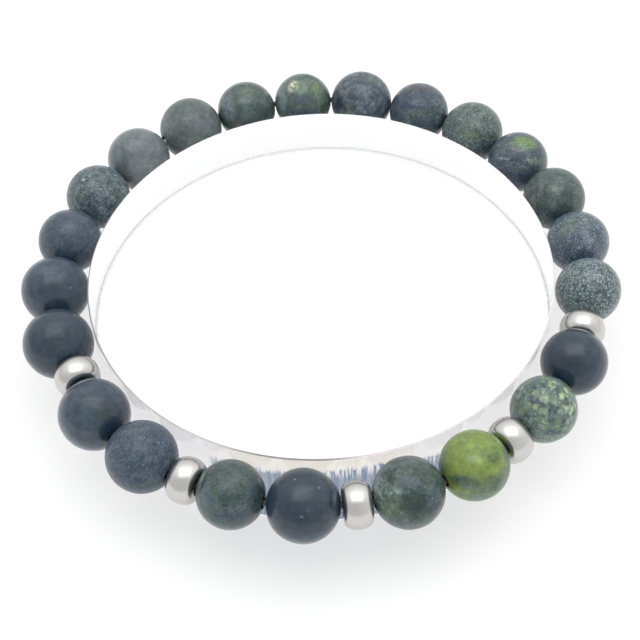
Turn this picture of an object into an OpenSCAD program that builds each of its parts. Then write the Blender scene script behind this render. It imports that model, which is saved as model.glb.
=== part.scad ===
// Beaded stretch bracelet on a clear display disc, in millimetres.
// The foot of the disc stands at z = 0 with the disc's axis on Z. The front of the string faces -Y,
// and the string is read counter-clockwise from there, seen from above.

/* [Stones] */
// Diameter of the hole through each stone
stone_bore_d = 1.3; // [1.3:0.05:1.5]
// Depth and width of the bevel round each end of that hole
stone_bevel = 0.1; // [0.05:0.05:0.5]

/* [Spacers] */
// Outer diameter of a spacer
spacer_d = 5.3; // [5:0.05:6]
// Width of a spacer along the string
spacer_w = 3.2; // [3:0.05:3.4]
// Radius of the spacer's crown, across its width
spacer_crown_r = 2.4; // [1.9:0.1:4]
// Radius of the spacer's two rounded edges
spacer_edge_r = 0.9; // [0.3:0.1:1.2]
// Diameter of the hole through a spacer
spacer_bore_d = 2.4; // [2.4:0.05:2.5]

/* [String] */
// Diameter of the elastic
elastic_d = 0.7; // [0.5:0.05:0.7]
// Space between neighbouring beads
bead_gap = 0.05; // [0.04:0.01:0.2]
// Extra space at the one place where the elastic shows
slack = 0.3; // [0:0.05:1]
// Height of the string's centre line above the foot
string_z = 10.1; // [9:0.05:11]
// Lean of the string on the disc, with its front low
string_tilt = 1.0; // [0:0.1:1.5]
// Angle of the first spacer, counter-clockwise from the front
front_angle = 4.8; // [-10:0.1:10]

/* [Disc] */
// Height of the disc
disc_h = 12; // [11:0.5:16]
// Space between the disc's wall and a stone of middle size
disc_gap = 0.15; // [0.13:0.01:0.4]
// Size of the bevel on the disc's two edges
disc_bevel = 0.15; // [0.1:0.05:1]

/* [Hidden] */
$fn = 64;

// The order of the beads from the front: P is a steel spacer, S is a stone
ORDER = "PSSPSSPSSSSSSSSSSSSSSSPSSPSS";
BEADS = [0 : len(ORDER) - 1];
// The extra space lies between the fourteenth stone and the next
slack_after = 16;

// Tones of the stones
SLATE = [0.15, 0.18, 0.22];
MOSS = [0.22, 0.27, 0.20];
SPECKLED = [0.36, 0.42, 0.38];
LIME = [0.45, 0.55, 0.12];
STEEL = [0.74, 0.73, 0.72];
CLEAR = [0.88, 0.92, 0.96, 0.4];

// One row per stone, in the order of the string
DIAMETER = 0;
TONE = 1;
STONES = [
    [7.90, MOSS],
    [7.75, LIME],
    [7.55, SPECKLED],
    [7.70, SLATE],
    [7.80, SPECKLED],
    [7.65, SPECKLED],
    [7.80, MOSS],
    [7.70, MOSS],
    [8.00, MOSS],
    [7.85, SLATE],
    [8.10, SLATE],
    [7.60, MOSS],
    [7.75, MOSS],
    [8.20, MOSS],
    [8.15, MOSS],
    [8.10, SPECKLED],
    [7.90, SLATE],
    [8.25, SLATE],
    [8.30, SLATE],
    [8.20, SLATE],
    [8.10, SLATE],
    [7.60, MOSS],
    [8.10, SLATE],
];

// The spacers are loose on the elastic. One row per spacer: how far it hangs below the string's centre
// line, and how far it lies nearer the disc's axis
DROP = 0;
INSET = 1;
SPACERS = [
    [0.5, 0.1],
    [0.55, 0.42],
    [0.65, 0.32],
    [-0.15, 0.65],
    [0.6, 0.3],
];

// Which stone or which spacer a bead is, counted from 1
function is_spacer(bead) = ORDER[bead] == "P";
function rank(bead) = len([for (b = [0 : bead]) if (ORDER[b] == ORDER[bead]) b]);
function two_digits(n) = str(n < 10 ? "0" : "", n);
function bead_name(bead) = is_spacer(bead)
    ? str("spacer_", rank(bead))
    : str("stone_", two_digits(rank(bead)));

function width(bead) = is_spacer(bead) ? spacer_w : STONES[rank(bead) - 1][DIAMETER];
function sum(list, i = 0) = i < len(list) ? list[i] + sum(list, i + 1) : 0;

// The elastic pulls the stones towards the disc's wall, so a small stone lies nearer the axis than a
// large one. The elastic is stiff enough to even out half of the difference
DIAMETERS = [for (s = STONES) s[DIAMETER]];
middle_d = (min(DIAMETERS) + max(DIAMETERS)) / 2;
function string_r(wall_r) = wall_r + disc_gap + middle_d / 2;
function bead_r(bead, wall_r) = is_spacer(bead)
    ? string_r(wall_r)
    : string_r(wall_r) + (width(bead) - middle_d) / 4;

// Angle from one bead to the next, by the law of cosines on their centres
function step(bead, wall_r) =
    let (next = (bead + 1) % len(ORDER))
    let (a = bead_r(bead, wall_r))
    let (b = bead_r(next, wall_r))
    let (apart = (width(bead) + width(next)) / 2 + bead_gap + (bead == slack_after ? slack : 0))
    acos((a * a + b * b - apart * apart) / (2 * a * b));
function turn(wall_r) = sum([for (b = BEADS) step(b, wall_r)]);

// Halves the interval until the beads close one full turn round the disc
function closing_radius(low, high, halvings) =
    let (middle = (low + high) / 2)
    halvings == 0 ? middle
    : turn(middle) > 360 ? closing_radius(middle, high, halvings - 1)
    : closing_radius(low, middle, halvings - 1);

disc_r = closing_radius(15, 60, 40);
STEPS = [for (b = BEADS) step(b, disc_r)];
function bead_angle(bead) = front_angle + sum([for (b = BEADS) b < bead ? STEPS[b] : 0]);

// The elastic is round and the holes are straight, so it runs halfway between a hole's middle and ends
elastic_r = string_r(disc_r) * (3 - cos(max(STEPS) / 2)) / 2;

// A round hole along X, bevelled at both ends of a piece of the given length
module drilled_hole(hole_d, bevel, length) {
    rotate([0, 90, 0]) {
        cylinder(d = hole_d, h = length + 1, center = true);
        for (end = [0, 1]) mirror([0, 0, end])
            translate([0, 0, length / 2 - bevel])
                cylinder(d1 = hole_d, d2 = hole_d + 4 * bevel, h = 2 * bevel);
    }
}

module stone(diameter, tone) {
    color(tone) difference() {
        sphere(d = diameter);
        drilled_hole(stone_bore_d, stone_bevel, diameter);
    }
}

// A barrel with a crowned rim, rounded edges and flat ends
module spacer() {
    crown_out = spacer_d / 2 - spacer_crown_r;
    edge_along = spacer_w / 2 - spacer_edge_r;
    apart = spacer_crown_r - spacer_edge_r;
    edge_out = crown_out + sqrt(apart * apart - edge_along * edge_along);
    crown_along = edge_along * spacer_crown_r / apart;
    color(STEEL) rotate([0, 90, 0]) rotate_extrude() difference() {
        union() {
            intersection() {
                translate([crown_out, 0]) circle(r = spacer_crown_r);
                translate([0, -crown_along]) square([spacer_d, 2 * crown_along]);
            }
            for (end = [-1, 1]) translate([edge_out, end * edge_along]) circle(r = spacer_edge_r);
            translate([0, -spacer_w / 2]) square([edge_out, spacer_w]);
        }
        translate([-spacer_d, -spacer_w]) square([spacer_d + spacer_bore_d / 2, 2 * spacer_w]);
    }
}

// How far a bead lies above the middle of the leaning string
function lift(bead) = -bead_r(bead, disc_r) * cos(bead_angle(bead)) * tan(string_tilt);

module bead(index) {
    row = rank(index) - 1;
    loose = is_spacer(index) ? SPACERS[row] : [0, 0];
    r = bead_r(index, disc_r) - loose[INSET];
    z = string_z + lift(index) - loose[DROP];
    rotate([0, 0, bead_angle(index)]) translate([0, -r, z])
        if (is_spacer(index)) spacer();
        else stone(STONES[row][DIAMETER], STONES[row][TONE]);
}

module elastic_thread() {
    color(CLEAR) translate([0, 0, string_z]) rotate([string_tilt, 0, 0]) rotate_extrude()
        translate([elastic_r, 0]) circle(d = elastic_d);
}

module display_disc() {
    color(CLEAR) rotate_extrude() polygon([
        [0, 0],
        [disc_r - disc_bevel, 0],
        [disc_r, disc_bevel],
        [disc_r, disc_h - disc_bevel],
        [disc_r - disc_bevel, disc_h],
        [0, disc_h],
    ]);
}

display_disc();
elastic_thread();
for (b = BEADS) bead(b);
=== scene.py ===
"""Looks of a stretch bracelet of stone and steel beads on a clear display disc."""

import math
from collections import namedtuple

import bmesh
import bpy
from bpy.props import FloatProperty, FloatVectorProperty, PointerProperty
from mathutils import Matrix, Vector, noise


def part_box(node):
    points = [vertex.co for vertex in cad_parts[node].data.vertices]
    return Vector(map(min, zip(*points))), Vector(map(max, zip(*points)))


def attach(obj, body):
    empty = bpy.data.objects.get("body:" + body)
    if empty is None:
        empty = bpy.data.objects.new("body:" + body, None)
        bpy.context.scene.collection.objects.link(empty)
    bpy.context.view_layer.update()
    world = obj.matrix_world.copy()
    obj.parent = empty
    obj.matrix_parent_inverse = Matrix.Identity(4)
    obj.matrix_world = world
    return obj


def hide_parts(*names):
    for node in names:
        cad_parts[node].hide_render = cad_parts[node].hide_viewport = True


bl_info = {
    "name": "Stone Bead Bracelet",
    "version": (1, 0, 0),
    "blender": (4, 5, 0),
    "location": "View3D > Sidebar > Bracelet",
    "description": "Builds a stretch bracelet of stone beads on a clear display disc",
    "category": "Object",
}

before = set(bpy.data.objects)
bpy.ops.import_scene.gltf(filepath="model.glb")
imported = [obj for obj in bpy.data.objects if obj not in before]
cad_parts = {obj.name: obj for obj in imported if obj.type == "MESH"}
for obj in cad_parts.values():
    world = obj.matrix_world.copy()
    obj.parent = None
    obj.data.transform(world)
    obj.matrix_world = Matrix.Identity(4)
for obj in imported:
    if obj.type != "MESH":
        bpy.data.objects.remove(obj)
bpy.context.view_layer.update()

MM = 0.001
X = Vector((1, 0, 0))
Y = Vector((0, 1, 0))
Z = Vector((0, 0, 1))
WHITE = (1, 1, 1)
BODY = "root"
STONES = sorted(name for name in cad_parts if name.startswith("stone_"))
SPACERS = sorted(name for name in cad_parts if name.startswith("spacer_"))
ELASTIC = "elastic_thread"
SLACK_BETWEEN = ("stone_14", "stone_15")
DISC = "display_disc"


# Places and sizes read from the CAD parts of model.glb

def middle(node):
    """The centre of a CAD node's box."""
    low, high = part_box(node)
    return (low + high) / 2


def along_string(node):
    """The direction of the string at a bead, which is the direction of the bead's hole."""
    centre = middle(node)
    return Vector((-centre.y, centre.x, 0)).normalized()


def reach(node, direction):
    """How far a CAD node reaches in total along a direction."""
    steps = [vertex.co.dot(direction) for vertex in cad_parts[node].data.vertices]
    return max(steps) - min(steps)


def string_axis():
    """The axis of the string, which leans with its front low, from the front and back of the elastic."""
    points = sorted((vertex.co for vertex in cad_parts[ELASTIC].data.vertices), key=lambda p: p.y)
    across = points[-1] - points[0]
    lean = math.atan2(across.z, across.y)
    return Vector((0, -math.sin(lean), math.cos(lean)))


STRING_Z = middle(ELASTIC).z
STRING_AXIS = string_axis()
DISC_R = reach(DISC, X) / 2
DISC_H = reach(DISC, Z)


# The camera, from which the stones' markings are placed as well

CAMERA_LENS = 76.64
CAMERA_DISTANCE = 164.1 * MM
CAMERA_ELEVATION = math.radians(47.81)
CAMERA_ROLL = math.radians(-3.05)
CAMERA_AIM = Vector((-0.31 * MM, -6.62 * MM, STRING_Z))
CAMERA_PLACE = Vector((
    0, -CAMERA_DISTANCE * math.cos(CAMERA_ELEVATION),
    CAMERA_DISTANCE * math.sin(CAMERA_ELEVATION) + STRING_Z))


def view_axes(point):
    """The directions right, up and towards the camera, as the camera sees a point."""
    towards = (CAMERA_PLACE - point).normalized()
    level = Z.cross(towards).normalized()
    upright = towards.cross(level)
    right = level * math.cos(CAMERA_ROLL) + upright * math.sin(CAMERA_ROLL)
    return right, towards.cross(right), towards


# The markings of the stones

# A layer of markings has a tone, a strength and the size of one marking in millimetres.
Layer = namedtuple("Layer", "tone strength mm")

# A spot is a soft area of a stone. Its place is across and up from the stone's middle and its size is
# wide and tall, in radii, as the camera sees it.
Spot = namedtuple("Spot", "across up wide tall")

# Granules are small rounded grains. Cover is the share of them that shows, and they may keep to a spot.
Granules = namedtuple("Granules", "tone strength mm cover spot", defaults=(None,))

# A patch fills a spot with a tone; some patches are painted highlight, painted light or painted shade, as
# marked at each stone. Broken says how far it is broken up into flecks.
Patch = namedtuple("Patch", "across up wide tall tone strength broken", defaults=(0.5,))

# A look names the record's slot and the ground tone, then lists the layers that lie on it, from large
# clouds to pale specks. Grain is the strength of the finest grain, and polish that of the highlight.
Look = namedtuple(
    "Look", "slot ground clouds mottle veins streaks cracks specks granules grain polish patches",
    defaults=(None, None, None, None, None, None, (), 0.3, 1.0, ()))

LOOKS = {}
LOOKS["stone_01"] = Look(
    "moss_stone", "moss", Layer("pine", 0.8, 2.4), Layer("olive", 0.6, 0.9),
    veins=Layer("sage", 0.3, 1.3), specks=Layer("sage", 0.5, 0.35), grain=0.5, patches=(
        Patch(-0.45, -0.4, 0.46, 0.46, "fern", 0.6, 0.9),
        Patch(-0.5, 0.02, 0.4, 0.24, "sage", 0.6, 0.9),
        Patch(0.22, -0.28, 0.46, 0.34, "pine", 0.95, 0.3),
        Patch(0.02, 0.26, 0.38, 0.2, "plum", 0.8, 0.3),
        Patch(0.55, 0.28, 0.26, 0.36, "olive", 0.5, 0.8),
        Patch(-0.4, 0.6, 0.4, 0.2, "olive", 0.5, 0.7),
        Patch(-0.8, 0.0, 0.34, 0.55, "sage", 0.8, 0.9),
        Patch(-0.94, 0.02, 0.2, 0.6, "mist", 0.7, 0.4),
        Patch(0.1, 0.86, 0.6, 0.16, "olive", 0.5, 0.6),
        Patch(0.7, -0.1, 0.34, 0.5, "slate", 0.6),
        Patch(-0.28, -0.02, 0.12, 0.06, "mist", 0.7, 0.8),
        Patch(-0.45, -0.05, 0.06, 0.05, "mist", 0.6),
        Patch(0.0, -0.88, 0.9, 0.14, "ash", 0.5, 0.3)))
LOOKS["stone_02"] = Look(
    "lime_stone", "lime", Layer("fern", 0.35, 2.6), Layer("leaf", 0.4, 1.4), grain=0.1,
    polish=0.8, patches=(
        # painted shade: darker where the stone meets the spacer
        Patch(0.9, 0.42, 0.55, 0.55, "moss", 0.9, 0.1),
        Patch(0.85, -0.3, 0.5, 0.6, "olive", 0.8, 0.2),
        Patch(0.52, -0.42, 0.4, 0.34, "moss", 0.7, 0.3),
        Patch(-0.22, -0.46, 0.6, 0.2, "moss", 1.0, 0.3),
        Patch(0.1, -0.62, 0.6, 0.16, "olive", 0.7, 0.3),
        Patch(-0.85, -0.35, 0.36, 0.5, "moss", 0.45, 0.3),
        Patch(-0.92, 0.05, 0.26, 0.6, "olive", 0.6, 0.3),
        Patch(-0.05, -0.88, 0.5, 0.18, "fern", 0.6, 0.3),
        Patch(0.5, 0.28, 0.3, 0.22, "moss", 0.75, 0.6),
        Patch(0.58, 0.05, 0.16, 0.14, "leaf", 0.5, 0.4),
        # painted highlight: a faint cream patch where the highlight falls
        Patch(-0.05, 0.16, 0.36, 0.14, "cream", 0.14, 0.3),
        Patch(0.45, -0.85, 0.7, 0.24, "ash", 0.7, 0.2)))
LOOKS["stone_03"] = Look(
    "speckled_stone", "slate", Layer("olive", 0.9, 1.6), Layer("sage", 0.4, 0.6),
    granules=(
        Granules("fern", 1.0, 0.95, 1.1), Granules("sage", 0.85, 0.65, 0.8),
        Granules("pebble", 0.9, 0.85, 0.7, Spot(0.4, 0.35, 1.0, 1.1)),
        Granules("pale", 0.6, 0.6, 0.45, Spot(0.4, 0.35, 1.0, 1.1))),
    grain=0.5, polish=1.1, patches=(
        Patch(-0.25, 0.14, 0.5, 0.07, "slate", 0.75, 0.4),
        Patch(-0.3, -0.12, 0.34, 0.05, "ash", 0.6),
        Patch(0.3, 0.1, 0.24, 0.16, "slate", 0.6, 0.6),
        # painted highlight: a pale patch where the highlight falls
        Patch(-0.05, 0.32, 0.22, 0.12, "pebble", 0.45, 0.4),
        Patch(0.0, -0.8, 0.7, 0.26, "sage", 0.5, 0.6)))
LOOKS["stone_04"] = Look(
    "slate_stone", "night", Layer("slate", 0.25, 3.0), grain=0.1, polish=1.5, patches=(
        Patch(0.75, 0.0, 0.3, 0.6, "slate", 0.5, 0.1),))
LOOKS["stone_05"] = Look(
    "speckled_stone", "slate", Layer("moss", 0.7, 1.6), Layer("olive", 0.5, 0.7),
    specks=Layer("pale", 0.8, 0.26), grain=1.2, polish=1.25, granules=(
        Granules("sage", 0.85, 0.34, 1.0), Granules("mist", 0.9, 0.25, 0.75)), patches=(
        # painted highlight: pale flecks gathered where the highlight falls
        Patch(0.0, 0.42, 0.4, 0.3, "mist", 0.3, 0.9),
        Patch(0.05, -0.35, 0.5, 0.3, "slate", 0.15, 0.6)))
LOOKS["stone_06"] = Look(
    "speckled_stone", "slate", Layer("plum", 0.6, 2.0), Layer("ash", 0.6, 0.8),
    streaks=Layer("ash", 0.4, 0.5), specks=Layer("mist", 1.3, 0.28),
    granules=(Granules("ash", 0.7, 0.3, 0.9),), grain=1.6, polish=1.4, patches=(
        Patch(-0.42, 0.42, 0.34, 0.5, "fern", 0.5, 0.6),
        Patch(0.1, 0.75, 0.6, 0.24, "fern", 0.4, 0.7),
        Patch(-0.75, -0.05, 0.3, 0.6, "olive", 0.5),
        Patch(0.25, 0.1, 0.45, 0.36, "mist", 0.4, 0.9),
        Patch(0.75, 0.1, 0.3, 0.6, "ash", 0.6, 0.3),
        Patch(0.05, -0.45, 0.6, 0.28, "slate", 0.6, 0.3)))
LOOKS["stone_07"] = Look(
    "moss_stone", "moss", Layer("umber", 0.35, 1.4), Layer("slate", 0.45, 0.8),
    streaks=Layer("olive", 0.75, 0.7), specks=Layer("sage", 0.3, 0.3), grain=1.0, patches=(
        # painted highlight: a pale patch where the highlight falls
        Patch(0.02, 0.28, 0.22, 0.2, "sage", 0.45, 0.6),
        Patch(0.0, 0.75, 0.7, 0.24, "olive", 0.4),
        Patch(-0.05, -0.08, 0.12, 0.2, "olive", 0.6, 0.6),
        Patch(0.1, -0.55, 0.85, 0.28, "slate", 0.6, 0.3),
        Patch(0.75, 0.05, 0.3, 0.5, "olive", 0.4, 0.4)))
LOOKS["stone_08"] = Look(
    "moss_stone", "slate", Layer("plum", 0.6, 1.6), Layer("olive", 0.5, 0.8),
    specks=Layer("mist", 0.8, 0.26), grain=1.1, polish=1.2, patches=(
        Patch(-0.62, 0.35, 0.42, 0.55, "olive", 0.6, 0.6),
        Patch(0.1, 0.66, 0.62, 0.34, "fern", 0.85, 0.4),
        Patch(0.16, 0.68, 0.48, 0.28, "leaf", 0.6, 0.4),
        Patch(-0.05, 0.42, 0.34, 0.1, "pearl", 0.9, 0.95),
        Patch(-0.05, 0.22, 0.5, 0.14, "plum", 0.6, 0.2),
        Patch(0.5, 0.1, 0.5, 0.18, "sage", 0.9, 0.95),
        Patch(0.62, 0.08, 0.3, 0.16, "fern", 0.6, 0.7),
        Patch(-0.45, 0.04, 0.3, 0.07, "mist", 0.8, 0.98),
        Patch(0.05, -0.16, 0.7, 0.1, "olive", 0.8, 0.8),
        Patch(-0.1, -0.06, 0.22, 0.05, "pearl", 0.7, 0.9),
        Patch(-0.1, -0.28, 0.2, 0.06, "umber", 0.6),
        Patch(0.2, -0.55, 0.8, 0.2, "plum", 0.6, 0.2),
        Patch(0.85, 0.25, 0.28, 0.5, "olive", 0.6)))
LOOKS["stone_09"] = Look(
    "moss_stone", "olive", Layer("moss", 0.5, 1.4), Layer("sage", 0.6, 0.7),
    specks=Layer("pale", 0.5, 0.3), granules=(Granules("sage", 0.5, 0.28, 0.6),), grain=1.5,
    polish=0.8, patches=(
        Patch(-0.05, -0.1, 0.28, 0.2, "fern", 0.55),
        Patch(0.05, 0.25, 0.26, 0.22, "sage", 0.4, 0.6),
        Patch(-0.7, 0.05, 0.34, 0.5, "plum", 0.75),
        Patch(0.6, 0.4, 0.3, 0.3, "olive", 0.5, 0.6),
        Patch(0.45, -0.4, 0.5, 0.3, "slate", 0.6, 0.4)))
LOOKS["stone_10"] = Look(
    "slate_stone", "slate", Layer("olive", 0.5, 1.8), Layer("plum", 0.7, 0.8),
    specks=Layer("sage", 0.45, 0.3), grain=1.0, patches=(
        # painted highlight: a lighter band where the highlight falls
        Patch(-0.05, 0.3, 0.42, 0.14, "ash", 0.55),
        Patch(0.0, 0.0, 0.48, 0.14, "olive", 0.8),
        Patch(-0.1, -0.1, 0.26, 0.08, "fern", 0.45, 0.7),
        Patch(0.68, 0.2, 0.32, 0.6, "sage", 0.65, 0.95),
        Patch(0.3, -0.35, 0.4, 0.14, "plum", 0.8, 0.4),
        Patch(0.0, 0.82, 0.7, 0.14, "umber", 0.6, 0.4)))
LOOKS["stone_11"] = Look(
    "slate_stone", "plum", Layer("moss", 0.5, 1.7), Layer("dove", 1.0, 0.9),
    veins=Layer("mist", 0.4, 1.4), polish=0.7, patches=(
        Patch(-0.74, -0.08, 0.26, 0.4, "night", 0.9, 0.2),
        Patch(-0.34, -0.02, 0.16, 0.34, "moss", 0.8),
        Patch(0.32, 0.72, 0.34, 0.14, "fern", 0.5, 0.6),
        Patch(-0.05, 0.6, 0.3, 0.1, "slate", 0.6),
        Patch(0.6, -0.2, 0.22, 0.14, "slate", 0.5, 0.6),
        Patch(0.78, 0.1, 0.26, 0.6, "ash", 0.6, 0.6),
        Patch(0.1, 0.3, 0.34, 0.24, "mist", 0.3, 0.8)))
LOOKS["stone_12"] = Look(
    "moss_stone", "moss", Layer("olive", 0.7, 1.6), Layer("fern", 0.4, 0.9),
    specks=Layer("sage", 0.3, 0.3), grain=0.6, patches=(
        Patch(0.2, 0.58, 0.66, 0.3, "fern", 0.85),
        Patch(0.32, 0.52, 0.34, 0.22, "leaf", 0.28, 0.7),
        Patch(0.02, 0.64, 0.3, 0.16, "dove", 0.8),
        Patch(0.12, 0.5, 0.16, 0.12, "pearl", 0.6, 0.8),
        Patch(-0.36, 0.56, 0.28, 0.34, "cream", 0.9, 0.8),
        Patch(-0.2, 0.36, 0.3, 0.08, "sage", 0.6, 0.7),
        Patch(0.0, 0.08, 0.5, 0.18, "plum", 0.95, 0.2),
        Patch(0.6, 0.15, 0.3, 0.3, "fern", 0.75, 0.7),
        Patch(-0.8, 0.1, 0.4, 0.7, "mist", 0.6, 0.6),
        Patch(0.0, -0.35, 0.9, 0.14, "slate", 0.6, 0.3)))
LOOKS["stone_13"] = Look(
    "moss_stone", "moss", Layer("olive", 0.6, 1.6), Layer("slate", 0.5, 0.9),
    specks=Layer("sage", 0.35, 0.3), grain=0.6, polish=1.15, patches=(
        Patch(0.0, 0.6, 0.6, 0.26, "olive", 0.75, 0.6),
        Patch(0.05, 0.62, 0.34, 0.14, "fern", 0.5, 0.7),
        Patch(-0.66, 0.12, 0.42, 0.6, "mist", 0.45),
        # painted highlight: a pale patch where the highlight falls
        Patch(-0.05, 0.32, 0.28, 0.12, "pearl", 0.5, 0.6),
        Patch(-0.45, -0.42, 0.4, 0.16, "umber", 0.8, 0.3),
        Patch(0.5, -0.15, 0.5, 0.26, "pine", 0.6, 0.4)))
LOOKS["stone_14"] = Look(
    "moss_stone", "olive", Layer("dove", 0.8, 2.0), Layer("umber", 0.5, 0.9),
    specks=Layer("sage", 0.15, 0.3), grain=0.4, polish=0.5, patches=(
        Patch(-0.76, 0.02, 0.4, 0.66, "pearl", 0.8, 0.4),
        Patch(-0.45, -0.2, 0.3, 0.4, "umber", 0.4, 0.4),
        Patch(0.0, 0.25, 0.45, 0.18, "pearl", 0.35, 0.6),
        Patch(0.55, 0.1, 0.4, 0.4, "dove", 0.8, 0.3),
        # painted light: a paler lower part
        Patch(0.1, -0.45, 0.75, 0.22, "pearl", 0.4, 0.3)))
LOOKS["stone_15"] = Look(
    "moss_stone", "dove", Layer("olive", 0.3, 3.0), grain=0.15, polish=1.3, patches=(
        Patch(-0.85, 0.05, 0.52, 0.95, "ash", 0.95, 0.1),
        Patch(-0.44, 0.05, 0.16, 0.4, "slate", 0.35, 0.2),
        # painted light: a paler lower part
        Patch(0.1, -0.45, 0.7, 0.5, "pearl", 0.85, 0.1)))
LOOKS["stone_16"] = Look(
    "speckled_stone", "slate", Layer("olive", 0.9, 1.4), Layer("ash", 0.6, 0.6),
    veins=Layer("mist", 1.1, 0.9), cracks=Layer("night", 0.55, 1.3),
    granules=(Granules("olive", 0.75, 0.42, 1.3),), grain=0.9, polish=0.7, patches=(
        Patch(-0.38, 0.6, 0.1, 0.07, "cream", 0.7),
        Patch(-0.52, 0.18, 0.12, 0.08, "fern", 0.9, 0.6),
        Patch(-0.2, 0.45, 0.1, 0.12, "fern", 0.6, 0.8),
        Patch(0.05, 0.22, 0.4, 0.26, "mist", 0.25, 0.9),
        Patch(0.45, -0.2, 0.26, 0.3, "fern", 0.4, 0.9),
        Patch(0.78, 0.0, 0.3, 0.6, "sage", 0.45, 0.6),
        Patch(0.05, -0.6, 0.7, 0.28, "ash", 0.6)))
LOOKS["stone_17"] = Look(
    "slate_stone", "slate", Layer("plum", 0.4, 2.2), Layer("ash", 0.35, 0.6),
    specks=Layer("ash", 0.5, 0.3), grain=0.8, polish=1.25, patches=(
        Patch(0.2, -0.6, 0.6, 0.3, "night", 0.5, 0.2),
        # painted shade: a darker left edge
        Patch(-0.94, 0.0, 0.3, 0.9, "night", 0.9, 0.1)))
LOOKS["stone_18"] = Look(
    "slate_stone", "slate", Layer("night", 0.5, 2.2), polish=1.4, patches=(
        Patch(0.42, 0.0, 0.07, 0.03, "mist", 0.5, 0.6),
        Patch(0.0, 0.62, 0.5, 0.16, "ash", 0.3, 0.6),
        # painted shade: darker left and right edges
        Patch(-0.94, 0.0, 0.26, 0.8, "night", 0.8, 0.1),
        Patch(0.94, 0.0, 0.26, 0.8, "night", 0.8, 0.1)))
LOOKS["stone_19"] = Look(
    "slate_stone", "night", Layer("slate", 0.35, 2.0), polish=1.4, patches=(
        Patch(-0.1, -0.1, 0.4, 0.3, "plum", 0.2),))
LOOKS["stone_20"] = Look(
    "slate_stone", "slate", Layer("night", 0.9, 2.4), Layer("ash", 0.1, 0.8), grain=0.4,
    polish=1.6, patches=(
        Patch(0.25, -0.02, 0.34, 0.26, "pine", 0.7, 0.4),
        # painted shadow: darker at the lower right, where the next bead shades it
        Patch(0.3, -0.5, 0.6, 0.36, "night", 0.9, 0.2)))
LOOKS["stone_21"] = Look(
    "slate_stone", "plum", Layer("slate", 0.7, 1.4), Layer("ash", 0.5, 0.7),
    specks=Layer("mist", 0.55, 0.24), grain=0.8, polish=0.6, patches=(
        Patch(0.05, -0.3, 0.6, 0.14, "slate", 0.6),
        Patch(-0.1, -0.75, 0.6, 0.14, "moss", 0.7, 0.6),
        Patch(-0.3, 0.02, 0.28, 0.1, "olive", 0.6, 0.8),
        # painted highlight: a lighter band where the highlight falls
        Patch(0.0, 0.38, 0.6, 0.06, "ash", 0.4, 0.9),
        Patch(0.05, 0.72, 0.5, 0.16, "olive", 0.45, 0.7)))
LOOKS["stone_22"] = Look(
    "moss_stone", "moss", Layer("slate", 0.6, 1.4), Layer("olive", 0.55, 0.8),
    streaks=Layer("pine", 0.5, 0.8), specks=Layer("ash", 0.6, 0.28), grain=0.9, polish=1.3,
    patches=(
        Patch(0.0, 0.55, 0.8, 0.3, "moss", 0.5, 0.4),
        Patch(0.05, -0.1, 0.5, 0.14, "pine", 0.7, 0.6),
        Patch(0.05, -0.58, 0.8, 0.26, "slate", 0.85, 0.3),
        Patch(0.1, -0.4, 0.55, 0.12, "ash", 0.7, 0.9),
        Patch(-0.7, 0.0, 0.3, 0.5, "ash", 0.6, 0.7)))
LOOKS["stone_23"] = Look(
    "slate_stone", "night", Layer("slate", 0.25, 2.2), polish=1.5, patches=(
        Patch(0.42, 0.45, 0.05, 0.04, "ash", 0.9, 0.1),
        Patch(-0.05, -0.28, 0.06, 0.04, "ash", 0.9, 0.1),
        Patch(0.12, -0.12, 0.1, 0.08, "slate", 0.9, 0.3),
        Patch(-0.2, 0.68, 0.03, 0.03, "mist", 0.6, 0.1)))


# Shader nodes

class Wire:
    """The output of a node, which can stand in a Python expression of values."""

    def __init__(self, nodes, socket):
        self.nodes = nodes
        self.socket = socket

    def __add__(self, other):
        return self.nodes.maths("ADD", self, other)

    __radd__ = __add__

    def __mul__(self, other):
        return self.nodes.maths("MULTIPLY", self, other)

    __rmul__ = __mul__

    def __sub__(self, other):
        return self.nodes.maths("SUBTRACT", self, other)

    def __rsub__(self, other):
        return self.nodes.maths("SUBTRACT", other, self)

    def __abs__(self):
        return self.nodes.maths("ABSOLUTE", self, 0)


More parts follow.
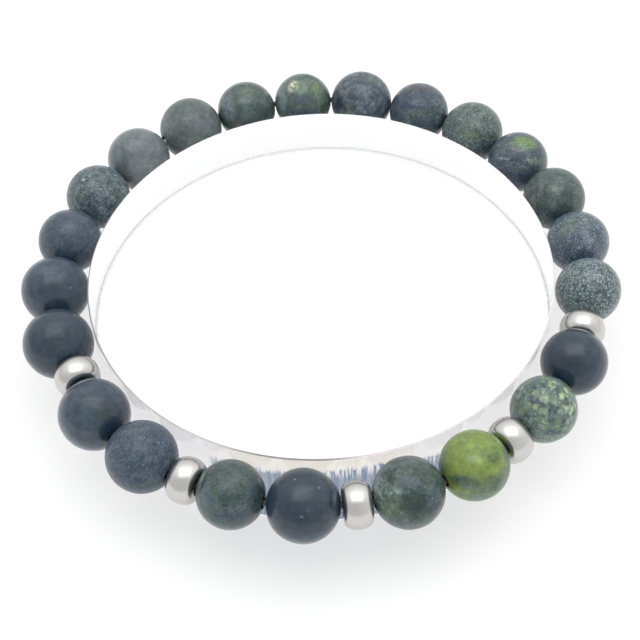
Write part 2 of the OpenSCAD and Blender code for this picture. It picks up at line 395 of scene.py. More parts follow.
class Nodes:
    """The empty node tree of a material or world, filled node by node."""

    def __init__(self, owner):
        owner.use_nodes = True
        self.owner = owner
        self.tree = owner.node_tree
        self.tree.nodes.clear()

    def node(self, kind, settings, inputs, output=0):
        """Adds a node, sets its settings and then its sockets, and gives back one of its outputs."""
        node = self.tree.nodes.new("ShaderNode" + kind)
        for name, value in settings.items():
            setattr(node, name, value)
        for socket, value in inputs.items():
            if isinstance(value, Wire):
                self.tree.links.new(value.socket, node.inputs[socket])
            else:
                node.inputs[socket].default_value = value
        return Wire(self, node.outputs[output]) if node.outputs else None

    def maths(self, operation, first, second):
        return self.node("Math", {"operation": operation}, {0: first, 1: second})

    def vector(self, operation, first, second, output=0):
        return self.node("VectorMath", {"operation": operation}, {0: first, 1: second}, output)

    def along(self, place, axis):
        """How far a place lies along an axis."""
        return self.vector("DOT_PRODUCT", place, axis, "Value")

    def length(self, vector):
        return self.vector("LENGTH", vector, (0, 0, 0), "Value")

    def mix(self, share, first, second):
        """A colour between two colours."""
        ends = [c if isinstance(c, Wire) else (*c, 1) for c in (first, second)]
        return self.node("Mix", {"data_type": "RGBA"}, {0: share, 6: ends[0], 7: ends[1]}, 2)

    def shade(self, colour, brightness):
        """A colour times a brightness."""
        return self.node("VectorMath", {"operation": "SCALE"}, {0: colour, "Scale": brightness})

    def rise(self, value, low, high):
        """0 below low, 1 above high and a smooth step between them."""
        return self.node(
            "MapRange", {"interpolation_type": "SMOOTHSTEP"},
            {"Value": value, "From Min": low, "From Max": high})

    def place_mm(self):
        """The place on the piece in millimetres, from the piece's own origin."""
        place = self.node("TexCoord", {}, {}, "Object")
        return self.vector("MULTIPLY", place, (1 / MM,) * 3)

    def clouds(self, place, size, detail=3, roughness=0.5, distortion=0.0):
        """Cloudy values round 0.5, with clouds about size across."""
        return self.node("TexNoise", {}, {
            "Vector": place, "Scale": 1 / size, "Detail": detail, "Roughness": roughness,
            "Distortion": distortion})

    def cells(self, place, size, feature="F1", output="Distance"):
        """Cells about size across: the distance to the middle or the edge, or a number for each."""
        return self.node("TexVoronoi", {"feature": feature}, {"Vector": place, "Scale": 1 / size}, output)

    def each_cell(self, place, size):
        """A number from 0 to 1 that is the same all over a cell."""
        return self.along(self.cells(place, size, output="Color"), X)

    def bump(self, height, depth):
        """The bent normal of a surface, for a height and the depth in metres of one unit of it."""
        return self.node("Bump", {}, {"Height": height, "Distance": depth, "Strength": 1.0})

    def close(self, shader, output="OutputMaterial"):
        """Ends the tree with its shader."""
        self.node(output, {}, {"Surface": shader})
        return self.owner

    def surface(self, inputs):
        """Ends a material's tree with a principled shader."""
        return self.close(self.node("BsdfPrincipled", {}, inputs))


def new_material(name):
    """The empty node tree of a new material."""
    return Nodes(bpy.data.materials.new(name))


# Materials

class StonePaint:
    """Mixes the markings of one stone, layer by layer."""

    # How far apart in the noise neighbouring stones are cut, in millimetres
    NEXT_STONE = (37.1, 17.3, 53.7)

    def __init__(self, node, settings):
        self.look = LOOKS[node]
        self.tones = settings.tones
        self.radius_mm = reach(node, Z) / 2 / MM
        self.axes = view_axes(middle(node))
        self.n = new_material(node + "_finish")
        self.here = self.n.place_mm()
        number = STONES.index(node)
        self.place = self.n.vector("ADD", self.here, [step * number for step in self.NEXT_STONE])
        self.flecks = self.n.clouds(self.place, 0.42, detail=4, roughness=0.7)
        self.colour = self.tone(self.look.ground)

    def tone(self, name):
        return getattr(self.tones, name)

    def lay(self, share, tone):
        """Lays a tone over what is there."""
        self.colour = self.n.mix(share, self.colour, self.tone(tone))

    def lay_clouds(self, layer):
        """Large soft clouds."""
        clouds = self.n.clouds(self.place, layer.mm, detail=4, roughness=0.55, distortion=0.5)
        self.lay(self.n.rise(clouds, 0.38, 0.62) * layer.strength, layer.tone)

    def lay_mottle(self, layer):
        """Small ragged clouds."""
        mottle = self.n.clouds(self.place, layer.mm, detail=6, roughness=0.72, distortion=0.8)
        self.lay(self.n.rise(mottle, 0.48, 0.64) * layer.strength, layer.tone)

    def lay_veins(self, layer):
        """Thin lines, where the clouds pass their middle value."""
        clouds = self.n.clouds(self.place, layer.mm, detail=4, roughness=0.6, distortion=1.2)
        vein = 1 - self.n.rise(abs(clouds - 0.5), 0.0, 0.035)
        self.lay(vein * self.flecks * (1.6 * layer.strength), layer.tone)

    def streaks(self, axis, mm):
        """Cloudy values drawn out along an axis."""
        n = self.n
        drawn_out = n.vector("ADD", self.place, n.shade(axis, n.along(self.place, axis) * -0.8))
        return n.clouds(drawn_out, mm, detail=4, roughness=0.65)

    def lay_streaks(self, layer):
        """Fibres that run up the stone, as the camera sees it."""
        streaks = self.streaks(self.axes[1], layer.mm)
        self.lay(self.n.rise(streaks, 0.47, 0.60) * layer.strength, layer.tone)

    def warped(self, mm):
        """The place on the stone, bent so that cells of this size look irregular."""
        warp = self.n.shade(self.n.clouds(self.place, 1.5 * mm, detail=2), 1.5 * mm)
        return self.n.vector("ADD", self.place, warp)

    def lay_cracks(self, layer):
        """Thin broken lines between large cells."""
        edge = self.n.cells(self.warped(layer.mm), layer.mm, "DISTANCE_TO_EDGE")
        crack = (1 - self.n.rise(edge, 0.0, 0.10)) * self.n.rise(self.flecks, 0.38, 0.52)
        self.lay(crack * layer.strength, layer.tone)

    def within(self, spot):
        """1 in the middle of a spot or patch and 0 outside, with a ragged soft edge between them."""
        n = self.n
        right, up, towards = self.axes
        depth = math.sqrt(max(0.0, 1 - spot.across ** 2 - spot.up ** 2))
        middle_mm = self.radius_mm * (right * spot.across + up * spot.up + towards * depth)
        away = n.vector("SUBTRACT", self.here, middle_mm)
        stretched = n.along(away, up) * (spot.wide / spot.tall - 1)
        away = n.vector("ADD", away, n.shade(up, stretched))
        size_mm = spot.wide * self.radius_mm
        ragged = n.length(away) + (self.flecks - 0.5) * (1.1 * size_mm)
        return 1 - n.rise(ragged, 0.35 * size_mm, 1.15 * size_mm)

    def lay_patch(self, patch):
        """A patch, whole or broken up into flecks."""
        whole = 1 - patch.broken + self.n.rise(self.flecks, 0.44, 0.56) * patch.broken
        self.lay(self.within(patch) * whole * patch.strength, patch.tone)

    def lay_granules(self, granules):
        """Small rounded grains, each with a strength of its own. Gives back where they lie."""
        n = self.n
        place = self.warped(granules.mm)
        inside = n.rise(n.cells(place, granules.mm, "DISTANCE_TO_EDGE"), 0.0, 0.18)
        rounded = 1 - n.rise(n.cells(place, granules.mm), 0.25, 0.75)
        shown = n.rise(n.each_cell(place, granules.mm), 1 - granules.cover, 1.5 - granules.cover)
        grains = inside * rounded * shown
        if granules.spot:
            grains = grains * self.within(granules.spot)
        self.lay(grains * granules.strength, granules.tone)
        return grains

    def lay_specks(self, layer):
        """Pale flecks of many shapes and sizes, more of them where the strength is higher."""
        specks = self.n.clouds(self.place, layer.mm, detail=2, roughness=0.6)
        lowest = 0.72 - 0.10 * layer.strength
        self.lay(self.n.rise(specks, lowest, lowest + 0.08) * 0.8, layer.tone)


def lay_each(*steps):
    """Lays those layers that a stone has. A step is the method and the layer."""
    for method, layer in steps:
        if layer:
            method(layer)


def stone_finish(node, settings):
    """The tumbled, frosted stone of one bead."""
    paint = StonePaint(node, settings)
    look = paint.look
    n = paint.n
    grain = n.clouds(paint.place, 0.20, detail=2, roughness=0.6)
    waves = n.clouds(paint.place, 1.6, detail=1)
    height = grain + waves * (settings.wobble / settings.grain_depth)
    lay_each(
        (paint.lay_clouds, look.clouds), (paint.lay_mottle, look.mottle),
        (paint.lay_veins, look.veins), (paint.lay_streaks, look.streaks))
    for granules in look.granules:
        height = height + paint.lay_granules(granules)
    for patch in look.patches:
        paint.lay_patch(patch)
    lay_each((paint.lay_cracks, look.cracks), (paint.lay_specks, look.specks))
    blotches = n.clouds(paint.place, 0.9, detail=5, roughness=0.7)
    flats = n.rise(paint.streaks(paint.axes[0], 0.35), 0.42, 0.58)
    brightness = 1 + (grain - 0.5) * (2.2 * look.grain) + (blotches - 0.5) * settings.mottling
    return n.surface({
        "Base Color": n.shade(paint.colour, brightness),
        "Roughness": settings.roughness + (grain - 0.5) * 0.15,
        "IOR": 1.5,
        "Specular IOR Level": settings.gloss,
        "Coat Weight": (flats * 0.25 + 0.75) * (settings.shine * look.polish),
        "Coat Roughness": settings.shine_roughness,
        "Sheen Weight": settings.bloom,
        "Sheen Roughness": 0.4,
        "Sheen Tint": (*settings.bloom_tone, 1),
        "Normal": n.bump(height, settings.grain_depth)})


def steel_finish(settings):
    """Tumbled steel with a soft polish and faint scuffs."""
    n = new_material("satin_steel")
    scuffs = n.clouds(n.place_mm(), 0.5, detail=5, roughness=0.7)
    return n.surface({
        "Base Color": n.mix(scuffs, settings.tone, settings.scuff_tone),
        "Metallic": 1.0,
        "Roughness": settings.roughness + (scuffs - 0.5) * 0.10,
        "Normal": n.bump(scuffs, 0.003 * MM)})


def elastic_finish(settings):
    """Clear elastic, dark as painted shade where it runs inside and between the beads, and milky as painted
    light only at the slack place where it shows.
    """
    n = new_material("clear_elastic")
    place = n.place_mm()
    streaks = n.clouds(place, 0.4, detail=2)
    ends = [middle(node) - middle(ELASTIC) for node in SLACK_BETWEEN]
    away = n.vector("DISTANCE", place, (ends[0] + ends[1]) / (2 * MM), "Value")
    # Painted light at the slack place; elsewhere the elastic keeps its dark painted shade.
    painted_light_share = (1 - n.rise(away, 0.5, 1.0)) * (0.6 + streaks * 0.8)
    return n.surface({
        "Base Color": n.mix(painted_light_share, settings.tone, settings.lit_milky_tone),
        "Roughness": 0.25 + streaks * 0.10,
        "IOR": 1.45,
        "Transmission Weight": settings.clearness,
        "Normal": n.bump(streaks, 0.01 * MM)})


def foot_finish(settings):
    """The disc's foot, which is satin-ground acrylic."""
    n = new_material("satin_foot")
    grinding = n.clouds(n.place_mm(), 0.6, roughness=0.6)
    return n.surface({
        "Base Color": n.mix(grinding, settings.tone, WHITE),
        "Roughness": settings.foot_roughness + (grinding - 0.5) * 0.1,
        "IOR": settings.ior,
        "Transmission Weight": 1.0})


# Where the painted reflection on the edge and the painted refraction on the wall of the disc change, in
# millimetres along X. A pair is a soft step, and one that is named for a half is measured from its middle.
DARK_EDGE_LEFT = (-27, -20)
DARK_EDGE_MIDDLE = -4
DARK_EDGE_HALF = (3.5, 8)
PALE_EDGE = (0, 14)
CREST_MIDDLE = -1.5
CREST_HALF = (7, 12)
COMB_LEFT = (-13.5, -12.5)
COMB_RIGHT = (15, 16)
COMB_DIPS = (5, 13)
LONG_TEETH = (-3, 1)

# The comb of painted refraction streaks on the front of the wall, in shares of the disc's height: the line
# of its top, how far that line climbs with each millimetre and dips at the right, and the length of its
# shortest teeth
COMB_TOP = 0.835
COMB_CLIMB = 0.004
COMB_DIP = 0.20
TOOTH = 0.09


def edge_finish_with_painted_reflection(settings):
    """The narrow bevel round the top of the disc, which is left as it was cut, and whose colour is a
    painted reflection: dark at the front, the back and the left end, paler between and pale on the right.
    """
    n = new_material("cut_edge")
    place = n.place_mm()
    cut_marks_and_ragged_reflection = n.clouds(place, 0.5, roughness=0.6)
    along = n.along(place, X)
    # The colour is a painted reflection: dark at the front, the back and the left end, pale on the right.
    side = n.mix(n.rise(along + cut_marks_and_ragged_reflection * 8, *PALE_EDGE), settings.side_reflection_tone, settings.pale_reflection_tone)
    at_side = n.rise(abs(along - DARK_EDGE_MIDDLE), *DARK_EDGE_HALF) * n.rise(along, *DARK_EDGE_LEFT)
    return n.surface({
        "Base Color": n.mix(at_side, settings.dark_reflection_tone, side),
        "Roughness": 0.4 + cut_marks_and_ragged_reflection * 0.2,
        "IOR": settings.ior,
        "Transmission Weight": 0.2})


def wall_finish_with_painted_refraction(settings):
    """The disc's wall, with a faint tint and faint polishing streaks, and at the front a warm crest and a
    comb of streaks that are painted refraction.
    """
    n = new_material("polished_wall")
    place = n.place_mm()
    along = n.along(place, X)
    height = n.along(place, Z * (MM / DISC_H))
    upright = n.vector("MULTIPLY", place, (1, 1, 0.04))
    streaks = n.clouds(upright, 0.36, detail=1, roughness=0.6)
    front = 1 - n.rise(n.along(place, Y), -20, 0)
    # Painted refraction: a warm crest under the rim, at the front only.
    crest = 1 - n.rise(abs(along - CREST_MIDDLE), *CREST_HALF)
    tint = n.mix(crest * front, settings.wall_tone, settings.warm_refraction_tone)
    # Painted refraction: the comb of blue and white streaks at the front.
    below = COMB_TOP + along * COMB_CLIMB - n.rise(along, *COMB_DIPS) * COMB_DIP - height
    ends = n.rise(along, *COMB_LEFT) * (1 - n.rise(along, *COMB_RIGHT))
    comb = n.rise(below + (streaks - 0.5) * 0.3, -0.01, 0.01) * ends
    tooth = TOOTH + n.rise(along, *LONG_TEETH) * TOOTH
    gaps = n.rise(streaks, 0.47, 0.55) * (1 - n.rise(below, 0.02, tooth) * 0.9)
    streaked = n.mix(gaps, settings.painted_refraction_tone, WHITE)
    return n.surface({
        "Base Color": n.mix(comb * front, tint, streaked),
        "Roughness": settings.wall_roughness + streaks * 0.02,
        "IOR": settings.ior,
        "Transmission Weight": 1.0,
        "Normal": n.bump(streaks, 0.01 * MM)})


def disc_finish(settings):
    """Clear acrylic with a flat polished face."""
    n = new_material("clear_acrylic")
    haze = n.clouds(n.place_mm(), 3.0, detail=2)
    return n.surface({
        "Base Color": n.mix(haze, settings.tone, WHITE),
        "Roughness": haze * 0.01,
        "IOR": settings.ior,
        "Transmission Weight": 1.0})


def floor_finish(settings):
    """Matt white board, lit from below and more so under the disc."""
    n = new_material("white_board")
    place = n.place_mm()
    fibre = n.clouds(place, 0.8, detail=4, roughness=0.6)
    under_disc = 1 - n.rise(n.length(place), DISC_R / MM - 0.5, DISC_R / MM)
    return n.surface({
        "Base Color": n.mix(fibre * 0.04, settings.floor_tone, settings.fibre_tone),
        "Roughness": 0.7,
        "Specular IOR Level": 0.0,
        "Emission Color": n.mix(under_disc, settings.floor_glow, settings.disc_glow),
        "Emission Strength": 1.0})


# Meshes

DISC_SIDES = 360
ELASTIC_SIDES = 240
THREAD_SIDES = 16
BEAD_SIDES = 96
BALL_STEPS = 64
CROWN_STEPS = 32
EDGE_STEPS = 16
HARD_EDGE = math.radians(25)


def arc(centre, radius, start, end, steps):
    """Points on an arc, as (along, out) pairs, from one angle to another in degrees."""
    angles = [math.radians(start + (end - start) * i / steps) for i in range(steps + 1)]
    return [(centre[0] + radius * math.cos(a), centre[1] + radius * math.sin(a)) for a in angles]


def turned(name, outline, axis, sides, place, material):
    """A piece turned on a lathe from a closed outline of (along, out) points round an axis."""
    across = axis.orthogonal().normalized()
    other = axis.cross(across)
    mesh = bmesh.new()
    rings = []
    for side in range(sides):
        angle = math.tau * side / sides
        out = across * math.cos(angle) + other * math.sin(angle)
        rings.append([mesh.verts.new(axis * point[0] + out * point[1]) for point in outline])
    count = len(outline)
    for ring, after in zip(rings, rings[1:] + rings[:1]):
        for i in range(count):
            j = (i + 1) % count
            if outline[i][1] or outline[j][1]:
                mesh.faces.new((ring[i], after[i], after[j], ring[j]))
    bmesh.ops.remove_doubles(mesh, verts=mesh.verts, dist=1e-8)
    return finished(name, mesh, place, material)


def new_object(name, data):
    """A new object in the scene."""
    thing = bpy.data.objects.new(name, data)
    bpy.context.scene.collection.objects.link(thing)
    return thing


def finished(name, mesh, place, material):
    """Makes the object of a mesh, smooth but for its hard edges, and lets it ride on the body."""
    bmesh.ops.recalc_face_normals(mesh, faces=mesh.faces)
    for face in mesh.faces:
        face.smooth = True
    for edge in mesh.edges:
        edge.smooth = edge.calc_face_angle(0) < HARD_EDGE
    data = bpy.data.meshes.new(name)
    mesh.to_mesh(data)
    mesh.free()
    data.materials.append(material)
    piece = new_object(name, data)
    piece.location = place
    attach(piece, BODY)
    return piece


def stone_outline(radius, bore, bevel):
    """A drilled ball, with a bevel round each end of the hole."""
    mouth = bore / 2 + bevel
    edge = math.degrees(math.asin(mouth / radius))
    ball = arc((0, 0), radius, edge, 180 - edge, BALL_STEPS)
    end = ball[0][0]
    return ball + [(bevel - end, bore / 2), (end - bevel, bore / 2)]


def spacer_outline(radius, width, settings):
    """A barrel with a crowned rim, rounded edges, flat ends and a straight hole."""
    crown_out = radius - settings.crown
    edge_along = width / 2 - settings.edge
    apart = settings.crown - settings.edge
    edge_out = crown_out + math.sqrt(apart ** 2 - edge_along ** 2)
    turn = math.degrees(math.acos(edge_along / apart))
    bore = settings.bore / 2
    return [
        *arc((edge_along, edge_out), settings.edge, 0, turn, EDGE_STEPS),
        *arc((0, crown_out), settings.crown, turn, 180 - turn, CROWN_STEPS)[1:-1],
        *arc((-edge_along, edge_out), settings.edge, 180 - turn, 180, EDGE_STEPS),
        (-width / 2, bore),
        (width / 2, bore)]


# What a user would change

def tone_property(name, description, colour, highest=1):
    return FloatVectorProperty(
        name=name, description=description, subtype="COLOR", min=0, max=highest, default=colour)


def share_property(name, description, share):
    return FloatProperty(
        name=name, description=description, subtype="FACTOR", min=0, max=1, default=share)


def size_property(name, description, mm, lowest, highest):
    """A length in metres, whose default and range are given in millimetres."""
    return FloatProperty(
        name=name, description=description, unit="LENGTH", precision=6,
        min=lowest * MM, max=highest * MM, default=mm * MM)


def light_property(name, description, brightness):
    return FloatProperty(name=name, description=description, min=0, max=10, default=brightness)


class StoneTones(bpy.types.PropertyGroup):
    """The tones that the stones' markings are mixed from."""
    night: tone_property("Night", "Near-black blue slate", (0.009, 0.025, 0.045))
    pine: tone_property("Pine", "Black-green", (0.014, 0.033, 0.029))
    slate: tone_property("Slate", "Dark blue-grey", (0.030, 0.055, 0.087))
    plum: tone_property("Plum", "Dark purple-grey", (0.065, 0.083, 0.116))
    ash: tone_property("Ash", "Middle blue-grey", (0.103, 0.141, 0.180))
    mist: tone_property("Mist", "Pale blue-grey", (0.284, 0.345, 0.392))
    moss: tone_property("Moss", "Dark green", (0.043, 0.076, 0.065))
    olive: tone_property("Olive", "Grey-green", (0.097, 0.135, 0.128))
    dove: tone_property("Dove", "Warm grey", (0.128, 0.149, 0.160))
    umber: tone_property("Umber", "Dull brown", (0.095, 0.091, 0.087))
    pearl: tone_property("Pearl", "Pale warm grey", (0.203, 0.228, 0.239))
    sage: tone_property("Sage", "Pale grey-green", (0.203, 0.269, 0.232))
    fern: tone_property("Fern", "Middle green", (0.121, 0.193, 0.102))
    leaf: tone_property("Leaf", "Fresh green", (0.176, 0.304, 0.072))
    lime: tone_property("Lime", "Yellow-green", (0.190, 0.262, 0.055))
    pale: tone_property("Pale", "Pale green of the pebbles and specks", (0.446, 0.593, 0.392))
    pebble: tone_property("Pebble", "Yellowish green of the pebbles", (0.400, 0.550, 0.285))
    cream: tone_property("Cream", "Pale yellow", (0.621, 0.662, 0.493))


class StoneSettings(bpy.types.PropertyGroup):
    """Sizes and finish of the stones."""
    bore: size_property("Hole", "Diameter of the hole through a stone", 1.3, 1.3, 1.5)
    bevel: size_property("Bevel", "Depth and width of the bevel round each end of the hole", 0.1, 0.05, 0.5)
    unevenness: size_property(
        "Unevenness", "How far the hand-turned surface dips below a true ball", 0.05, 0, 0.1)
    roughness: share_property("Roughness", "How matt the stones are", 0.42)
    bloom: share_property("Bloom", "Milky light at the edges of the frosted stones", 0.04)
    bloom_tone: tone_property("Bloom tone", "Colour of the milky light", (0.70, 0.85, 1.0))
    gloss: share_property("Gloss", "How much light the matt ground throws back", 0.20)
    shine: share_property("Shine", "How far the small flats on the stones are tumbled to a shine", 0.62)
    shine_roughness: share_property("Shine roughness", "How soft the highlight on those flats is", 0.17)
    mottling: FloatProperty(
        name="Mottling", description="How far the brightness changes from place to place",
        min=0, max=3, default=1.8)
    wobble: size_property(
        "Wobble", "Depth of the broad tooling waves that break up the highlight", 0.03, 0, 0.1)
    grain_depth: size_property("Grain depth", "Depth of the fine grain", 0.008, 0.001, 0.1)
    tones: PointerProperty(type=StoneTones)


class SpacerSettings(bpy.types.PropertyGroup):
    """Sizes and finish of the steel spacers."""
    crown: size_property("Crown", "Radius of the rim across the spacer's width", 2.4, 1.9, 4)
    edge: size_property("Edge", "Radius of the two rounded edges", 0.9, 0.3, 1.2)
    bore: size_property("Hole", "Diameter of the hole through a spacer", 2.4, 2.4, 2.5)
    tone: tone_property("Tone", "Colour of the steel", (0.62, 0.605, 0.59))
    scuff_tone: tone_property("Scuff tone", "Colour of the faint scuffs", (0.56, 0.55, 0.53))
    roughness: share_property("Roughness", "How satin the steel is", 0.25)


class ElasticSettings(bpy.types.PropertyGroup):
    """Finish of the elastic."""
    # The dark tone is painted shade inside and between the beads, the milky tone painted light at the
    # slack.
    tone: tone_property("Tone", "Colour of the elastic inside the beads", (0.06, 0.07, 0.08))
    lit_milky_tone: tone_property("Milky tone", "Colour of the elastic at the slack place", (0.75, 0.77, 0.80))
    clearness: share_property("Clearness", "How much light passes through the elastic", 0.3)


class DiscSettings(bpy.types.PropertyGroup):
    """Edge and finish of the display disc."""
    bevel: size_property("Bevel", "Size of the bevel on the disc's two edges", 0.15, 0.1, 1)
    tone: tone_property("Tone", "Colour of light that has passed into the disc", (0.985, 0.99, 0.992))
    wall_tone: tone_property("Wall tone", "Faint tint of the wall", (0.96, 0.94, 0.96))
    # The crest and streak tones are painted refraction at the front of the wall.
    warm_refraction_tone: tone_property("Crest tone", "Warm tint just under the rim at the front", (1.0, 0.91, 0.78))
    painted_refraction_tone: tone_property(
        "Streak tone", "Colour of the streaks at the front of the wall", (0.06, 0.105, 0.20))
    wall_roughness: share_property("Wall roughness", "How much the polished wall still blurs", 0.14)
    # The three tones of the bevel are its painted reflection.
    dark_reflection_tone: tone_property(
        "Edge tone", "Colour of the cut bevel at the front, the back and the left end",
        (0.30, 0.28, 0.31))
    side_reflection_tone: tone_property(
        "Side tone", "Colour of the cut bevel between those places", (0.62, 0.60, 0.62))
    pale_reflection_tone: tone_property("Pale tone", "Colour of the cut bevel on the right", (0.94, 0.93, 0.94))
    foot_roughness: share_property("Foot roughness", "How matt the ground foot is", 0.6)
    ior: FloatProperty(
        name="Index of refraction", description="How strongly the acrylic bends light",
        min=1.3, max=1.7, default=1.49)


class StageSettings(bpy.types.PropertyGroup):
    """Floor and lights."""
    floor_size: size_property("Floor size", "Side of the square floor", 4000, 1000, 20000)
    floor_gap: size_property("Floor gap", "Air under the disc's foot", 0.03, 0, 0.2)
    floor_tone: tone_property("Floor tone", "Colour of the floor", (0.45, 0.45, 0.45))
    fibre_tone: tone_property("Fibre tone", "Colour of the board's fibres", (0.40, 0.40, 0.40))
    floor_glow: tone_property(
        "Floor glow", "Light that comes up through the white floor", (0.56, 0.56, 0.56), 2)
    disc_glow: tone_property(
        "Disc glow", "Light that comes up through the floor under the disc", (0.85, 0.85, 0.85), 2)
    room_light: light_property("Room light", "Brightness of the surroundings at eye level", 0.94)
    ceiling_light: light_property(
        "Ceiling light", "How much brighter the surroundings are overhead, on the far side", 0.75)
    canopy_light: light_property("Canopy light", "How much brighter the soft canopy right overhead is", 1.5)
    side_light: light_property("Side light", "How much brighter the surroundings are on the right", 0.2)
    softbox_light: FloatProperty(
        name="Softbox light", description="Power of the softbox overhead", unit="POWER",
        min=0, max=10, default=0.1)
    softbox_width: size_property("Softbox width", "Width of the softbox", 500, 50, 2000)
    softbox_depth: size_property("Softbox depth", "Depth of the softbox", 360, 50, 2000)
    softbox_place: FloatVectorProperty(
        name="Softbox place", description="Middle of the softbox", subtype="TRANSLATION",
        unit="LENGTH", default=(0, 0.03, 0.45))


class BraceletSettings(bpy.types.PropertyGroup):
    """All settings of the bracelet and its stage."""
    stones: PointerProperty(type=StoneSettings)
    spacers: PointerProperty(type=SpacerSettings)
    elastic: PointerProperty(type=ElasticSettings)
    disc: PointerProperty(type=DiscSettings)
    stage: PointerProperty(type=StageSettings)


# Operators, one for each group of pieces

# Where the light of the surroundings changes, as soft steps of a direction's share along X or Y
FAR_SIDE = (-0.5, 0.5)
RIGHT_SIDE = (-0.2, 1)
CANOPY_FRONT = (-0.36, -0.18)
CANOPY_BACK = (0.0, 0.75)
CANOPY_HALF = (0.25, 0.65)

# The round of a stone starts at this share of its radius, and its dips are this far apart
ROUND_FROM = 0.98
DIP_APART = 2.5 * MM

# The finishes of the disc's faces, in the order of its material slots
CLEAR_TOP, GROUND_FOOT, POLISHED_WALL_PAINTED_REFRACTION, PAINTED_REFLECTION_BEVEL = range(4)


class BRACELET_OT_stage(bpy.types.Operator):
    """Lays the floor and sets the camera and the lights"""
    bl_idname = "bracelet.stage"
    bl_label = "Set the stage"

    def execute(self, context):
        settings = context.scene.bracelet.stage
        self.add_floor(settings)
        self.add_camera(context)
        self.add_softbox(settings)
        self.add_room(context, settings)
        context.scene.view_settings.view_transform = "Standard"
        return {"FINISHED"}

    def add_floor(self, settings):
        half = settings.floor_size / 2
        data = bpy.data.meshes.new("floor")
        corners = [(-half, -half, 0), (half, -half, 0), (half, half, 0), (-half, half, 0)]
        data.from_pydata(corners, [], [(0, 1, 2, 3)])
        data.materials.append(floor_finish(settings))
        floor = new_object("floor", data)
        floor.location.z = -settings.floor_gap

    def add_camera(self, context):
        data = bpy.data.cameras.new("camera")
        data.lens = CAMERA_LENS
        data.clip_start = 10 * MM
        camera = new_object("camera", data)
        axes = Matrix(view_axes(CAMERA_AIM)).transposed()
        camera.matrix_world = Matrix.Translation(CAMERA_PLACE) @ axes.to_4x4()
        context.scene.camera = camera

    def add_softbox(self, settings):
        data = bpy.data.lights.new("softbox", "AREA")
        data.shape = "RECTANGLE"
        data.size = settings.softbox_width
        data.size_y = settings.softbox_depth
        data.energy = settings.softbox_light
        new_object("softbox", data).location = settings.softbox_place

    def add_room(self, context, settings):
        """White surroundings, brighter on the right, overhead at the back and in a canopy above."""
        world = bpy.data.worlds.new("white_room")
        n = Nodes(world)
        direction = n.node("TexCoord", {}, {}, "Generated")
        across = n.along(direction, X)
        away = n.along(direction, Y)
        overhead = n.rise(n.along(direction, Z), 0, 1)
        far_side = n.rise(away, *FAR_SIDE)
        right_side = n.rise(across, *RIGHT_SIDE)
        middle_part = 1 - n.rise(abs(across), *CANOPY_HALF)
        canopy = n.rise(away, *CANOPY_FRONT) * (1 - n.rise(away, *CANOPY_BACK)) * middle_part * overhead
        strength = (settings.room_light + overhead * far_side * settings.ceiling_light
                    + right_side * settings.side_light + canopy * settings.canopy_light)
        n.close(n.node("Background", {}, {"Strength": strength}), "OutputWorld")
        context.scene.world = world


class BRACELET_OT_disc(bpy.types.Operator):
    """Makes the clear display disc"""
    bl_idname = "bracelet.disc"
    bl_label = "Make the disc"

    def execute(self, context):
        settings = context.scene.bracelet.disc
        bevel = settings.bevel
        outline = [
            (0, 0), (0, DISC_R - bevel), (bevel, DISC_R),
            (DISC_H - bevel, DISC_R), (DISC_H, DISC_R - bevel), (DISC_H, 0)]
        disc = turned("acrylic_disc", outline, Z, DISC_SIDES, (0, 0, 0), disc_finish(settings))
        for finish in (foot_finish, wall_finish_with_painted_refraction, edge_finish_with_painted_reflection):
            disc.data.materials.append(finish(settings))
        for face in disc.data.polygons:
            face.material_index = self.finish_at(face.center.z, bevel)
        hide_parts(DISC)
        return {"FINISHED"}

    def finish_at(self, height, bevel):
        """The finish of the face whose middle is at a height."""
        if height < bevel * 0.75:
            return GROUND_FOOT
        if height < DISC_H - bevel:
            return POLISHED_WALL_PAINTED_REFRACTION
        return PAINTED_REFLECTION_BEVEL if height < DISC_H - bevel / 4 else CLEAR_TOP


class BRACELET_OT_elastic(bpy.types.Operator):
    """Makes the elastic thread inside the beads"""
    bl_idname = "bracelet.elastic"
    bl_label = "Make the elastic"

    def execute(self, context):
        settings = context.scene.bracelet.elastic
        thickness = reach(ELASTIC, STRING_AXIS)
        ring_r = (reach(ELASTIC, X) - thickness) / 2
        outline = arc((0, ring_r), thickness / 2, 0, 360 - 360 / THREAD_SIDES, THREAD_SIDES - 1)
        elastic = turned(
            "stretch_elastic", outline, STRING_AXIS, ELASTIC_SIDES, middle(ELASTIC),
            elastic_finish(settings))
        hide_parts(ELASTIC)
        return {"FINISHED"}


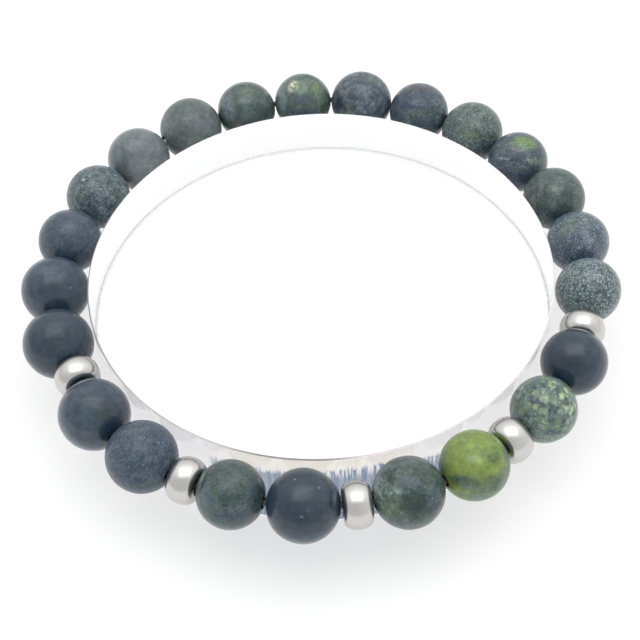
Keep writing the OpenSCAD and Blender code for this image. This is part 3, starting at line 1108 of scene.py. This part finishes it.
class BRACELET_OT_spacers(bpy.types.Operator):
    """Makes the steel spacers"""
    bl_idname = "bracelet.spacers"
    bl_label = "Make the spacers"

    def execute(self, context):
        settings = context.scene.bracelet.spacers
        material = steel_finish(settings)
        for node in SPACERS:
            axis = along_string(node)
            outline = spacer_outline(reach(node, Z) / 2, reach(node, axis), settings)
            spacer = turned("steel_" + node, outline, axis, BEAD_SIDES, middle(node), material)
            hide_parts(node)
        return {"FINISHED"}


class BRACELET_OT_stones(bpy.types.Operator):
    """Makes the drilled stones"""
    bl_idname = "bracelet.stones"
    bl_label = "Make the stones"

    def execute(self, context):
        settings = context.scene.bracelet.stones
        for node in STONES:
            radius = reach(node, Z) / 2
            outline = stone_outline(radius, settings.bore, settings.bevel)
            stone = turned(
                "tumbled_" + node, outline, along_string(node), BEAD_SIDES, middle(node),
                stone_finish(node, settings))
            self.dent(stone, radius, settings.unevenness)
            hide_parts(node)
        return {"FINISHED"}

    def dent(self, stone, radius, unevenness):
        """Lets the round of a stone dip a little below a true ball."""
        for vertex in stone.data.vertices:
            if vertex.co.length > ROUND_FROM * radius:
                seed = vertex.co / DIP_APART + stone.location / MM
                vertex.co *= 1 - unevenness / radius * (0.5 + 0.5 * noise.noise(seed))


class VIEW3D_PT_bracelet(bpy.types.Panel):
    """Lists the steps that build the bracelet"""
    bl_label = "Bracelet"
    bl_space_type = "VIEW_3D"
    bl_region_type = "UI"
    bl_category = "Bracelet"

    def draw(self, context):
        for step in STEPS:
            self.layout.operator(step.bl_idname)


STEPS = (
    BRACELET_OT_stage, BRACELET_OT_disc, BRACELET_OT_elastic, BRACELET_OT_spacers, BRACELET_OT_stones)
CLASSES = (
    StoneTones, StoneSettings, SpacerSettings, ElasticSettings, DiscSettings, StageSettings,
    BraceletSettings, *STEPS, VIEW3D_PT_bracelet)


def register():
    for cls in CLASSES:
        bpy.utils.register_class(cls)
    bpy.types.Scene.bracelet = PointerProperty(type=BraceletSettings)


def unregister():
    del bpy.types.Scene.bracelet
    for cls in reversed(CLASSES):
        bpy.utils.unregister_class(cls)


def main():
    register()
    bpy.ops.bracelet.stage()
    bpy.ops.bracelet.disc()
    bpy.ops.bracelet.elastic()
    bpy.ops.bracelet.spacers()
    bpy.ops.bracelet.stones()


if __name__ == "__main__":
    main()
